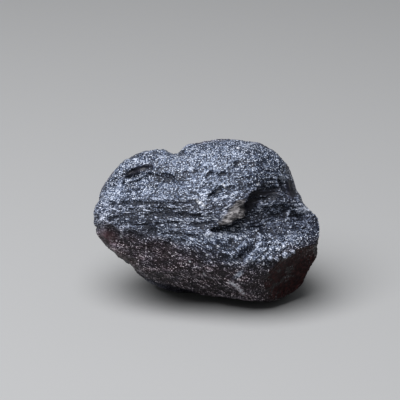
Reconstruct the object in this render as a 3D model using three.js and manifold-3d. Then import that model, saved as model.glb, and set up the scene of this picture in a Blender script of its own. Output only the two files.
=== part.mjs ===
// A tektite: one lump of black natural glass, thrown out molten by an impact and chilled in flight.
// It is a single piece. Its skin carries a belt of flow ridges that ends in a jagged lip over a torn
// gouge, a crescent pit under a brow, smaller pits and one smooth conchoidal break. It rests on a
// small flat spot.
// Millimetres. The part's frame has +X along the lump, +Y away from its broad face and +Z up.
import * as THREE from "three";
import { ImprovedNoise } from "three/addons/math/ImprovedNoise.js";
import { mergeVertices, toCreasedNormals } from "three/addons/utils/BufferGeometryUtils.js";
import Module from "manifold-3d";

const { degToRad, lerp, smoothstep, mapLinear } = THREE.MathUtils;

// ---- Driving dimensions -------------------------------------------------------------------------

// The lump is drawn facing the reader: x runs right, v up and w out of the page. It is then leaned
// back by LEAN, so that its broad face looks slightly upwards.
const LEAN = degToRad(20);

// The rim is the lump's outline in the x, v plane, anticlockwise from the right-hand tip.
const RIM = [
  [20.1, -0.6], [19.4, 1.2], [18.3, 2.5], [17.4, 4.4], [16.4, 5.6], [15.9, 7.1], [15.2, 9.1],
  [14.2, 11.1], [12.4, 13.0], [9.7, 14.2], [6.5, 14.7], [3.0, 14.9], [-0.6, 14.6], [-3.6, 14.0],
  [-4.9, 13.2], [-6.0, 12.3], [-7.2, 12.9], [-8.6, 13.3], [-11.4, 12.7], [-14.3, 11.6],
  [-16.5, 9.8], [-18.2, 7.9], [-19.8, 5.6], [-20.8, 3.4], [-20.3, 0.5], [-19.8, -1.9],
  [-18.8, -3.7], [-16.5, -6.8], [-13.4, -9.6], [-10.5, -11.2], [-7.2, -12.1], [-3.7, -12.9],
  [0.0, -13.8], [4.2, -14.6], [8.0, -15.0], [11.4, -14.9], [14.6, -14.0], [17.6, -12.0],
  [18.8, -9.7], [18.9, -7.2], [19.7, -4.2],
];

// Inside the outline its small steps die out, from this share of the way out to the rim. There they
// are averaged over an angle, in degrees.
const RIM_SOFTENING = { from: 0.8, angle: 26, steps: 8 };

// Each side swells from the rim to its own apex. Fullness below 1 makes a boxier section.
const FRONT = { apex: [3.0, -4.0], depth: 12.0, fullness: 0.95 };
const BACK = { apex: [4.0, -1.0], depth: 12.6, fullness: 0.9 };

// A blunt keel crosses the broad face from tip to tip: the skin above it looks up, and below it down.
const KEEL = {
  line: [
    [-21.0, 0.4], [-14.0, -0.8], [-6.0, -2.0], [0.0, -3.4], [4.0, -5.0], [8.0, -6.6], [14.0, -6.2],
    [21.0, -3.6],
  ],
  rise: 2.4,
  width: 5.2,
  bluntness: 1.3,
};

// Swells and dents of the skin: centre, half-widths, turn in degrees and height along the normal.
const FRONT_SWELLS = [
  { name: "brow over the crescent pit", at: [-12.0, 10.6], size: [5.5, 1.9], turn: 18, rise: 1.0 },
  { name: "upper right dome", at: [8.0, 9.0], size: [7.5, 4.2], turn: -8, rise: 1.4 },
  { name: "sunken left shoulder", at: [-11.0, 7.0], size: [7.0, 2.0], turn: 10, rise: -0.9 },
  { name: "shelf below the shoulder", at: [-9.0, 3.4], size: [9.0, 1.8], turn: 2, rise: 0.6 },
  { name: "sheet that ends in the lip", at: [3.0, 2.4], size: [6.0, 2.8], turn: 8, rise: 1.3 },
  { name: "lower right lobe", at: [14.5, -3.6], size: [6.0, 3.0], turn: 10, rise: 0.9 },
  { name: "hollow under the belt", at: [-2.0, -3.4], size: [7.0, 1.3], turn: -14, rise: -0.6 },
  { name: "left belly", at: [-12.0, -6.0], size: [5.0, 2.6], turn: -30, rise: 0.6 },
  { name: "low belly hollow", at: [-3.0, -10.2], size: [5.0, 1.8], turn: -14, rise: -0.6 },
];
const BACK_SWELLS = [
  { name: "back hump", at: [-8.0, 3.5], size: [6.0, 6.0], turn: 25, rise: 0.7 },
  { name: "back saddle", at: [1.0, 5.0], size: [3.0, 8.0], turn: -22, rise: -1.6 },
  { name: "back shoulder", at: [10.0, 1.0], size: [6.5, 8.0], turn: 10, rise: 1.6 },
  { name: "heel", at: [-5.5, -9.8], size: [6.5, 3.6], turn: -8, rise: 2.7 },
];

// All relief but the unevenness fades out towards the rim, within this distance of it in w.
const RIM_BAND = 5;

// Flow ridges run along the lump, unevenly. The front belt of them lies between two values of v.
const RIDGE = { length: 16.0, pitch: 2.3, height: 0.75, belt: [-3.6, 4.8], fade: 1.8, elsewhere: 0.35 };

// The skin's own unevenness, as layers of noise: wavelength and height. It is drawn out along x, and
// is weaker at the rim.
const ROUGHNESS = [
  { wavelength: 9.0, height: 0.9 },
  { wavelength: 3.6, height: 0.45 },
];
const ROUGHNESS_STRETCH = 1.5;
const ROUGHNESS_AT_RIM = 0.5;
const ROUGHNESS_SEED = 7;

// Hollows cut into the skin. Each is an ellipsoid: centre, half-lengths, turn about w, then tip
// about its own long axis, in degrees. Its middle stands out of the skin by the distance out.
const FRONT_HOLLOWS = [
  { name: "slit under the lip", at: [4.4, -1.5], out: 0.3, size: [4.2, 0.8, 2.6], turn: 12, tip: 34 },
  { name: "crescent pit", at: [-13.8, 6.9], out: 1.2, size: [3.7, 1.75, 2.9], turn: 21, tip: 15 },
  { name: "crease beside the pit", at: [-8.4, 8.0], out: 0.5, size: [2.7, 0.6, 1.2], turn: -6, tip: 30 },
  { name: "slanting pit", at: [7.2, -5.9], out: 0.5, size: [1.9, 0.75, 1.5], turn: 36, tip: 0 },
  { name: "smooth left facet", at: [-18.5, -3.1], out: 3.0, size: [3.1, 2.7, 3.7], turn: -30, tip: 0 },
  { name: "crevice at the right edge", at: [14.7, 6.0], out: 0.6, size: [2.7, 1.3, 2.3], turn: -48, tip: 0 },
  { name: "dent above the lip", at: [1.8, 5.5], out: 0.5, size: [1.9, 0.9, 1.2], turn: 45, tip: 0 },
];
const BACK_HOLLOWS = [
  { name: "long back groove", at: [-6.0, 6.5], out: 0.8, size: [7.0, 1.5, 2.4], turn: 14, tip: 0 },
  { name: "bubble pit", at: [9.0, 5.2], out: 0.7, size: [2.6, 2.1, 2.2], turn: 30, tip: 0 },
  { name: "small bubble pit", at: [4.4, -3.4], out: 0.4, size: [1.7, 1.4, 1.6], turn: 0, tip: 0 },
  { name: "low crescent pit", at: [-11.4, -3.0], out: 0.8, size: [3.4, 1.2, 2.2], turn: -24, tip: 0 },
];

// The torn gouge: a valley that is only cut inside a jagged outline. The outline follows the lip, and
// its walls slant by angles in degrees so that the lip overhangs a little. Stations along x give the
// valley's bottom as v and w. Its sides rise from there with these slopes, and the bottom is rounded
// over this width. The floor is layered: its strata have a pitch across the flow and a height, and
// two of them stand out as ribs.
const GOUGE = {
  outline: [
    [1.1, -1.7], [2.2, -1.1], [3.0, -0.9], [4.1, -0.8], [5.0, -0.2], [5.7, 0.2], [6.8, 1.0], [6.1, 2.4],
    [7.1, 3.9], [7.9, 4.7], [9.2, 5.1], [11.0, 4.9], [12.4, 5.4], [14.2, 4.9], [16.0, 5.2], [24.0, 7.0],
    [24.0, -9.0], [6.0, -9.0], [-1.0, -6.0],
  ],
  corner: [8, 2],
  slant: { aboutV: -10, aboutX: 24 },
  valley: [
    { x: -1, v: -2.2, w: 14.4 }, { x: 2, v: -1.3, w: 11.6 }, { x: 5, v: 0.1, w: 9.4 },
    { x: 8, v: 1.1, w: 7.9 }, { x: 12, v: 0.8, w: 6.9 }, { x: 16, v: 0.5, w: 6.0 },
    { x: 29, v: 0.6, w: -1.0 },
  ],
  slope: { above: 0.4, below: 0.9 },
  bottom: 1.4,
  strata: { pitch: 1.6, height: 0.5, stretch: 2.5, fall: 0.12 },
  ribs: [
    { name: "rib under the brow", at: [12.3, 3.2], size: [3.6, 0.7], turn: 9, rise: 1.3 },
    { name: "thin rib below it", at: [11.4, 1.7], size: [3.2, 0.4], turn: 4, rise: 0.7 },
  ],
};

// One flake has broken off the lower right, and left a shallow smooth bowl: a ball's surface.
const BREAK = { at: [16.0, -10.2], facing: [0.62, -0.6, 0.51], depth: 2.3, radius: 32.0 };

// Every hollow's ball is a little ragged: lumps of this size, as a share of its half-lengths.
const RAGGED = { height: 0.15, frequency: 2 };

// The flat spot is a level cut this far above the lowest point of the leaned lump.
const FLAT_SPOT_CUT = 0.65;

// Mesh: rings from tip to tip, points round each ring, and how much the points crowd to the front.
const RINGS = 46;
const ROUND = 70;
const CROWDING = 0.32;
const HOLLOW_MESH = [16, 12];
const VALLEY_MESH = { size: [30, 24], steps: [40, 31] };
const BALL_MESH = [56, 40];
const RIM_SAMPLES = 1200;
const CREASE = degToRad(38);
const FAR = 60; // well clear of the lump

// ---- Helpers ------------------------------------------------------------------------------------

const wasm = await Module();
wasm.setup();
const noise = new ImprovedNoise();

const weld = (geometry) => {
  geometry.deleteAttribute("normal");
  geometry.deleteAttribute("uv");
  return mergeVertices(geometry, 1e-4);
};

function toSolid(geometry) {
  const welded = weld(geometry);
  return new wasm.Manifold(
    new wasm.Mesh({
      numProp: 3,
      vertProperties: welded.attributes.position.array,
      triVerts: new Uint32Array(welded.index.array),
    }),
  );
}

function toGeometry(solid) {
  const mesh = solid.getMesh();
  return new THREE.BufferGeometry()
    .setAttribute("position", new THREE.BufferAttribute(mesh.vertProperties, 3))
    .setIndex(new THREE.BufferAttribute(mesh.triVerts, 1));
}

// 1 at the middle of a turned ellipse in the x, v plane, falling smoothly to 0 well outside it.
function hillAt({ at, size, turn }, x, v) {
  const angle = degToRad(turn);
  const along = (x - at[0]) * Math.cos(angle) + (v - at[1]) * Math.sin(angle);
  const across = (v - at[1]) * Math.cos(angle) - (x - at[0]) * Math.sin(angle);
  return Math.exp(-((along / size[0]) ** 2) - (across / size[1]) ** 2);
}

// ---- The lump -----------------------------------------------------------------------------------

// The rim as a list of radius by angle, so that any direction finds its rim point.
const rimSamples = new THREE.CatmullRomCurve3(
  RIM.map(([x, v]) => new THREE.Vector3(x, v, 0)),
  true,
  "centripetal",
)
  .getPoints(RIM_SAMPLES)
  .map((p) => ({ angle: Math.atan2(p.y, p.x), radius: Math.hypot(p.x, p.y) }))
  .sort((a, b) => a.angle - b.angle);

function rimRadius(angle) {
  const wrapped = Math.atan2(Math.sin(angle), Math.cos(angle));
  let low = 0;
  let high = rimSamples.length - 1;
  if (wrapped <= rimSamples[low].angle || wrapped >= rimSamples[high].angle) return rimSamples[high].radius;
  while (high - low > 1) {
    const middle = (low + high) >> 1;
    if (rimSamples[middle].angle > wrapped) high = middle;
    else low = middle;
  }
  return mapLinear(
    wrapped,
    rimSamples[low].angle,
    rimSamples[high].angle,
    rimSamples[low].radius,
    rimSamples[high].radius,
  );
}

function softRimRadius(angle) {
  const { angle: span, steps } = RIM_SOFTENING;
  let sum = 0;
  for (let i = 0; i <= steps; i++) sum += rimRadius(angle + degToRad(span) * (i / steps - 0.5));
  return sum / (steps + 1);
}

// The plain lump's skin in a direction: the rim drawn in towards the side's apex as it swells out.
function skinPoint(direction) {
  const side = direction.z > 0 ? FRONT : BACK;
  const angle = Math.atan2(direction.y, direction.x);
  const reach = Math.hypot(direction.x, direction.y) ** side.fullness;
  const radius = lerp(softRimRadius(angle), rimRadius(angle), smoothstep(reach, RIM_SOFTENING.from, 1));
  const [apexX, apexV] = side.apex;
  return new THREE.Vector3(
    lerp(apexX, radius * Math.cos(angle), reach),
    lerp(apexV, radius * Math.sin(angle), reach),
    Math.sign(direction.z) * side.depth * Math.abs(direction.z) ** side.fullness,
  );
}

// The keel's height at a point of the broad face.
function keelAt(x, v) {
  const found = KEEL.line.findIndex(([at]) => at >= x);
  const next = found < 0 ? KEEL.line.length - 1 : Math.max(1, found);
  const [x0, v0] = KEEL.line[next - 1];
  const [x1, v1] = KEEL.line[next];
  const crest = mapLinear(x, x0, x1, v0, v1);
  return KEEL.rise * Math.exp(-(Math.abs((v - crest) / KEEL.width) ** KEEL.bluntness));
}

// Uneven ridges along x: noise, drawn out along the flow and folded to sharp crests. About -1/2 to 1/2.
function folded(x, v, w, pitch) {
  return 0.5 - 2 * Math.abs(noise.noise(x / RIDGE.length, v / pitch, w));
}

// The ridges' height: full in the front belt, and weaker elsewhere.
function ridgesAt(p) {
  const [low, high] = RIDGE.belt;
  const inBelt =
    p.z > 0
      ? smoothstep(p.y, low - RIDGE.fade, low + RIDGE.fade) *
        (1 - smoothstep(p.y, high - RIDGE.fade, high + RIDGE.fade))
      : 0;
  const strength = RIDGE.height * lerp(RIDGE.elsewhere, 1, inBelt);
  return strength * folded(p.x, p.y, p.z / RIDGE.length, RIDGE.pitch);
}

// How far the skin stands out of the plain lump at a point: swells, flow ridges and unevenness.
function relief(p) {
  const facing = smoothstep(Math.abs(p.z), 0, RIM_BAND);
  const swells = p.z > 0 ? FRONT_SWELLS : BACK_SWELLS;
  let height = swells.reduce((sum, swell) => sum + swell.rise * hillAt(swell, p.x, p.y), 0);
  if (p.z > 0) height += keelAt(p.x, p.y);
  height += ridgesAt(p);
  height *= facing;
  for (const { wavelength, height: amplitude } of ROUGHNESS) {
    const q = p.clone().divideScalar(wavelength);
    const bump = noise.noise(q.x, ROUGHNESS_STRETCH * q.y, q.z + ROUGHNESS_SEED);
    height += lerp(ROUGHNESS_AT_RIM, 1, facing) * amplitude * bump;
  }
  return height;
}

// The skin as a mesh. The ball's poles go to the lump's tips, and its rings crowd to the front.
function lump() {
  const ball = new THREE.SphereGeometry(1, ROUND, RINGS);
  const position = ball.attributes.position;
  const direction = new THREE.Vector3();
  for (let i = 0; i < position.count; i++) {
    direction.set(position.getY(i), position.getZ(i), position.getX(i));
    const girth = Math.hypot(direction.y, direction.z);
    const turn = Math.atan2(direction.z, direction.y);
    const crowded = turn + CROWDING * Math.cos(turn);
    direction.y = girth * Math.cos(crowded);
    direction.z = girth * Math.sin(crowded);
    const p = skinPoint(direction);
    position.setXYZ(i, p.x, p.y, p.z);
  }
  const skin = weld(ball);
  skin.computeVertexNormals();
  const { position: places, normal } = skin.attributes;
  const p = new THREE.Vector3();
  const n = new THREE.Vector3();
  for (let i = 0; i < places.count; i++) {
    p.fromBufferAttribute(places, i);
    n.fromBufferAttribute(normal, i);
    p.addScaledVector(n, relief(p));
    places.setXYZ(i, p.x, p.y, p.z);
  }
  return skin;
}

// ---- Cuts ---------------------------------------------------------------------------------------

// The skin's w over a point of the x, v plane, on the front (side 1) or the back (side -1).
function skinDepth(skinMesh, [x, v], side) {
  const from = new THREE.Vector3(x, v, side * FAR);
  const ray = new THREE.Raycaster(from, new THREE.Vector3(0, 0, -side));
  return ray.intersectObject(skinMesh)[0].point.z;
}

// A unit ball with its poles along x, put in a hollow's place. The change reshapes its points first.
function placedBall({ at, out, size, turn, tip }, mesh, change, skinMesh, side) {
  const ball = new THREE.SphereGeometry(1, ...mesh);
  ball.rotateZ(Math.PI / 2);
  const shape = weld(ball);
  const { position } = shape.attributes;
  const p = new THREE.Vector3();
  for (let i = 0; i < position.count; i++) {
    change(p.fromBufferAttribute(position, i));
    position.setXYZ(i, p.x, p.y, p.z);
  }
  shape.scale(...size);
  shape.rotateX(degToRad(tip));
  shape.rotateZ(degToRad(turn));
  shape.translate(at[0], at[1], skinDepth(skinMesh, at, side) + side * out);
  return toSolid(shape);
}

// A hollow's ball is ragged: noise draws its points in and out.
function hollow(cut, skinMesh, side) {
  const { height, frequency } = RAGGED;
  const ragged = (p) => {
    const bump = noise.noise(frequency * p.x + cut.at[0], frequency * p.y, frequency * p.z);
    p.multiplyScalar(1 + height * bump);
  };
  return placedBall(cut, HOLLOW_MESH, ragged, skinMesh, side);
}

// The gouge's floor: its w at a point of the x, v plane.
function floorAt(x, v) {
  const { valley, slope, bottom, strata, ribs } = GOUGE;
  const next = Math.max(1, valley.findIndex((station) => station.x >= x));
  const [from, to] = [valley[next - 1], valley[next]];
  const across = v - mapLinear(x, from.x, to.x, from.v, to.v);
  const rise = Math.hypot(across, bottom) - bottom;
  return (
    mapLinear(x, from.x, to.x, from.w, to.w) +
    (across > 0 ? slope.above : slope.below) * rise +
    strata.height * folded(strata.stretch * x, v + strata.fall * x, 0, strata.pitch) +
    ribs.reduce((sum, rib) => sum + rib.rise * hillAt(rib, x, v), 0)
  );
}

// The valley within the jagged outline. The outline's prism is slanted about the lip's corner.
function gouge(skinMesh) {
  const outline = new THREE.Shape(GOUGE.outline.map(([x, v]) => new THREE.Vector2(x, v)));
  const prism = new THREE.ExtrudeGeometry(outline, { depth: FAR, bevelEnabled: false });
  const [x, v] = GOUGE.corner;
  prism.translate(-x, -v, -FAR / 2);
  prism.rotateY(degToRad(GOUGE.slant.aboutV));
  prism.rotateX(degToRad(GOUGE.slant.aboutX));
  prism.translate(x, v, skinDepth(skinMesh, GOUGE.corner, 1));
  const block = new THREE.BoxGeometry(...VALLEY_MESH.size, FAR, ...VALLEY_MESH.steps, 1);
  const { position } = block.attributes;
  const [start] = GOUGE.valley;
  for (let i = 0; i < position.count; i++) {
    const across = position.getX(i) + VALLEY_MESH.size[0] / 2 + start.x;
    const up = position.getY(i);
    position.setXYZ(i, across, up, position.getZ(i) > 0 ? FAR : floorAt(across, up));
  }
  return toSolid(prism).intersect(toSolid(block));
}

function breakBowl(skinMesh) {
  const facing = new THREE.Vector3(...BREAK.facing).normalize();
  const centre = new THREE.Vector3(...BREAK.at, skinDepth(skinMesh, BREAK.at, 1));
  centre.addScaledVector(facing, BREAK.radius - BREAK.depth);
  const ball = new THREE.SphereGeometry(BREAK.radius, ...BALL_MESH);
  ball.translate(centre.x, centre.y, centre.z);
  return toSolid(ball);
}

function flatSpotCutter(lowest) {
  const slab = new THREE.BoxGeometry(2 * FAR, 2 * FAR, FAR);
  slab.translate(0, 0, lowest + FLAT_SPOT_CUT - FAR / 2);
  return toSolid(slab);
}

// ---- Assembly -----------------------------------------------------------------------------------

const skin = lump();
const skinMesh = new THREE.Mesh(skin, new THREE.MeshBasicMaterial({ side: THREE.DoubleSide }));
let stone = toSolid(skin);
for (const cut of FRONT_HOLLOWS) stone = stone.subtract(hollow(cut, skinMesh, 1));
for (const cut of BACK_HOLLOWS) stone = stone.subtract(hollow(cut, skinMesh, -1));
stone = stone.subtract(gouge(skinMesh)).subtract(breakBowl(skinMesh));

const leaned = toGeometry(stone);
leaned.rotateX(Math.PI / 2 - LEAN);
stone = toSolid(leaned);
stone = stone.subtract(flatSpotCutter(stone.boundingBox().min[2]));

// The frame's origin is under the middle of the lump's box, on the surface that it stands on.
const shape = toGeometry(stone);
shape.computeBoundingBox();
const middle = shape.boundingBox.getCenter(new THREE.Vector3());
shape.translate(-middle.x, -middle.y, -shape.boundingBox.min.z);

const glass = new THREE.MeshStandardMaterial({ color: 0x23242a, roughness: 0.5, metalness: 0 });
const tektite = new THREE.Mesh(toCreasedNormals(shape, CREASE), glass);
tektite.name = "tektite";

const part = new THREE.Group();
part.add(tektite);

export default part;
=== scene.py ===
import functools
import itertools
import math

import bpy
import numpy as np
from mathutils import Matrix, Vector


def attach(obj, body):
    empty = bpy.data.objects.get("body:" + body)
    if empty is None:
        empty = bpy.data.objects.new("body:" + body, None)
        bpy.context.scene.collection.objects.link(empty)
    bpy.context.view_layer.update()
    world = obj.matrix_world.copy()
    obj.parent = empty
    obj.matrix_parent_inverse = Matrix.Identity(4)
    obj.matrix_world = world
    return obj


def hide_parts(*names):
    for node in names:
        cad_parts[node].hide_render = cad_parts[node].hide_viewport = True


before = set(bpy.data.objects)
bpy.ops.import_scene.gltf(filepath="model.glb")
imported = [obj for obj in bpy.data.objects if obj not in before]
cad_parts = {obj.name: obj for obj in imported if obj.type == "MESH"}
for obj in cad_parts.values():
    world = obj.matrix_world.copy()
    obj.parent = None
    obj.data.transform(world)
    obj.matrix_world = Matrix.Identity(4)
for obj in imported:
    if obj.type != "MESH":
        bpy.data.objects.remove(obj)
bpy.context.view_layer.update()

bl_info = {
    "name": "Tektite",
    "version": (1, 0, 0),
    "blender": (4, 5, 0),
    "location": "View3D > Sidebar > Tektite",
    "description": "A lump of black natural glass with flow lines, a torn gouge and a grainy skin",
    "category": "Add Mesh",
}

MM = 0.001

# The lump is described facing the reader, in millimetres: x right, v up and w out of the page.
# It leans back, and this is where the drawing's origin lies in the row frame.
LEAN = math.radians(20)
ORIGIN = (0.021, 0.953, 14.603)

# ---- Small tools -------------------------------------------------------------------------------


def linear(code, alpha=1.0):
    """An sRGB hex colour as linear RGBA."""
    parts = [int(code[i : i + 2], 16) / 255 for i in (1, 3, 5)]
    return (*[c / 12.92 if c <= 0.04045 else ((c + 0.055) / 1.055) ** 2.4 for c in parts], alpha)


def smoothstep(low, high, value):
    t = np.clip((value - low) / (high - low), 0, 1)
    return t * t * (3 - 2 * t)


def gradient_noise(points, seed):
    """Smooth noise from about -1 to 1, one cell a unit."""
    draw = np.random.default_rng(seed)
    order = np.tile(draw.permutation(256), 2)
    slopes = draw.normal(size=(256, 3))
    slopes /= np.linalg.norm(slopes, axis=1, keepdims=True)
    cell = np.floor(points).astype(np.int64)
    inside = points - cell
    fade = inside**3 * (inside * (inside * 6 - 15) + 10)
    total = np.zeros(len(points))
    for corner in itertools.product((0, 1), repeat=3):
        at = (cell + corner) & 255
        pick = order[order[order[at[:, 0]] + at[:, 1]] + at[:, 2]]
        weight = np.prod(np.where(corner, fade, 1 - fade), axis=1)
        total += weight * np.einsum("ij,ij->i", slopes[pick], inside - corner)
    return 1.6 * total


def ridged(points, seed):
    """Noise folded to sharp crests, from about -1 in the hollows to 1 on the crests."""
    return 1 - 2.6 * np.abs(gradient_noise(points, seed))


def grains(points, seed):
    """Points scattered one to a cell: the distance to the nearest, and a share drawn for it."""
    draw = np.random.default_rng(seed)
    order = np.tile(draw.permutation(256), 2)
    spots, shares = draw.random((256, 3)), draw.random(256)
    cell = np.floor(points).astype(np.int64)
    near = np.full(len(points), 9.0)
    share = np.zeros(len(points))
    for step in itertools.product((-1, 0, 1), repeat=3):
        neighbour = cell + step
        at = neighbour & 255
        pick = order[order[order[at[:, 0]] + at[:, 1]] + at[:, 2]]
        distance = np.linalg.norm(neighbour + spots[pick] - points, axis=1)
        closer = distance < near
        near[closer], share[closer] = distance[closer], shares[pick][closer]
    return near, share


def read(mesh, what):
    out = np.zeros(len(mesh.vertices) * 3, np.float32)
    if what == "co":
        mesh.vertices.foreach_get("co", out)
    else:
        mesh.vertex_normals.foreach_get("vector", out)
    return out.reshape(-1, 3).astype(float)


def set_attribute(mesh, name, values):
    kind = "FLOAT_VECTOR" if values.ndim == 2 else "FLOAT"
    layer = mesh.attributes.get(name) or mesh.attributes.new(name, kind, "POINT")
    layer.data.foreach_set(
        "vector" if values.ndim == 2 else "value", values.astype(np.float32).ravel()
    )


def read_attribute(mesh, name):
    values = np.zeros(len(mesh.vertices), np.float32)
    mesh.attributes[name].data.foreach_get("value", values)
    return values


def make_active(piece):
    bpy.ops.object.select_all(action="DESELECT")
    piece.select_set(True)
    bpy.context.view_layer.objects.active = piece


def apply_modifier(piece, kind, **settings):
    make_active(piece)
    modifier = piece.modifiers.new(kind.title(), kind)
    for key, value in settings.items():
        setattr(modifier, key, value)
    bpy.ops.object.modifier_apply(modifier=modifier.name)


def add_node(tree, kind, inputs=(), stops=(), **settings):
    """Adds a shader node with its settings and links.

    Inputs are values, or nodes or sockets to link from, in the sockets' order or by their names.
    Stops are the places and colours of a colour ramp.
    """
    node = tree.nodes.new(kind)
    for key, value in settings.items():
        setattr(node, key, value)
    in_use = [socket for socket in node.inputs if socket.enabled]
    for key, value in inputs.items() if isinstance(inputs, dict) else enumerate(inputs):
        socket = node.inputs[key] if isinstance(key, str) else in_use[key]
        if isinstance(value, bpy.types.Node):
            value = next(output for output in value.outputs if output.enabled)
        if isinstance(value, bpy.types.NodeSocket):
            tree.links.new(value, socket)
        else:
            socket.default_value = value
    if stops:
        band = node.color_ramp.elements
        while len(band) < len(stops):
            band.new(0.5)
        for element, (at, colour) in zip(band, stops):
            element.position = at
            element.color = linear(colour) if isinstance(colour, str) else colour
    return node


# ---- The skin's forms --------------------------------------------------------------------------

# The lip's edge, from the slit's far end round to the foot of the dome, as x, v.
LIP = np.array([
    (1.1, -1.7), (2.2, -1.1), (3.0, -0.9), (4.1, -0.8), (5.0, -0.2), (5.7, 0.2), (6.8, 1.0),
    (6.1, 2.4), (7.1, 3.9), (7.9, 4.7), (9.0, 5.8),
])

# Where the lip's edge is torn further in or out: x, v, reach and the pull along x and v.
TEETH = (
    ((4.4, -0.8), 0.40, (0.05, -0.22)), ((5.5, -0.1), 0.60, (-0.10, 0.42)),
    ((6.9, 0.7), 0.45, (0.12, -0.25)), ((6.2, 2.2), 0.60, (-0.28, 0.0)),
    ((7.0, 3.8), 0.45, (0.25, 0.05)), ((7.7, 4.8), 0.50, (-0.25, 0.15)),
    ((2.6, -1.1), 0.35, (0.0, 0.20)), ((8.6, 5.6), 0.35, (0.15, -0.20)),
)

# The patch of the sheet, just inside the lip, whose skin has flaked off.
FLAKE = np.array([
    (6.6, 3.5), (5.6, 3.3), (4.7, 2.6), (4.1, 1.8), (3.6, 0.9), (2.9, 0.1), (2.3, -0.5),
    (2.6, -0.9), (4.5, -1.0), (5.0, -0.4), (6.2, 0.4), (7.0, 0.9), (6.4, 2.1),
])

# The smooth broken bowl at the lower right is part of this ball: its middle and its radius. At the
# bowl's heart the glass has no specks: x, v, half-lengths and turn.
BREAK_CENTRE, BREAK_RADIUS = np.array((34.37, -27.98, 23.77)), 32.0
BREAK_HEART = ((15.4, -10.4), (5.2, 3.3), 35)

# The gouge's floor: stations along x give its bottom as v and w, and its sides rise with these
# slopes.
VALLEY = {
    "x": (2, 5, 8, 12, 16, 29),
    "v": (-1.3, 0.1, 1.1, 0.8, 0.5, 0.6),
    "w": (11.6, 9.4, 7.9, 6.9, 6.0, -1.0),
}
VALLEY_SLOPE = {"above": 0.4, "below": 0.9}

# The belt of flow ridges: stations along x give its middle's v and its half-breadth.
BELT_MIDDLE = {"x": (-20, -12, -5, 2, 8, 20), "v": (1.0, 1.2, 0.8, 0.6, 0.9, 2.4)}
BELT_HALF = {"x": (-20, -10, -3, 3, 9, 20), "v": (2.3, 2.6, 3.0, 3.6, 3.8, 4.0)}

# The skin above, frosted and painted as lit, ends along this line, and the belly below, barer and
# painted in shade, begins.
FROST_AND_LIGHT_LINE = {"x": (-21, -12, -4, 4, 12, 21), "v": (-1.6, -3.0, -5.4, -8.4, -9.0, -5.0)}

# The sheet above the lip, whose striations climb to the right: x, v, half-lengths and turn, as they
# are raised and as they are coloured. They rise by this much along x.
SHEET = ((1.5, 6.5), (6.5, 4.5), 20)
SHEET_STREAKS = ((1.0, 6.5), (7.5, 4.5), 20)
SHEET_CLIMB = 0.47

# The belly's streaks run down to the right by this much.
BELLY_CLIMB = -0.3

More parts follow.
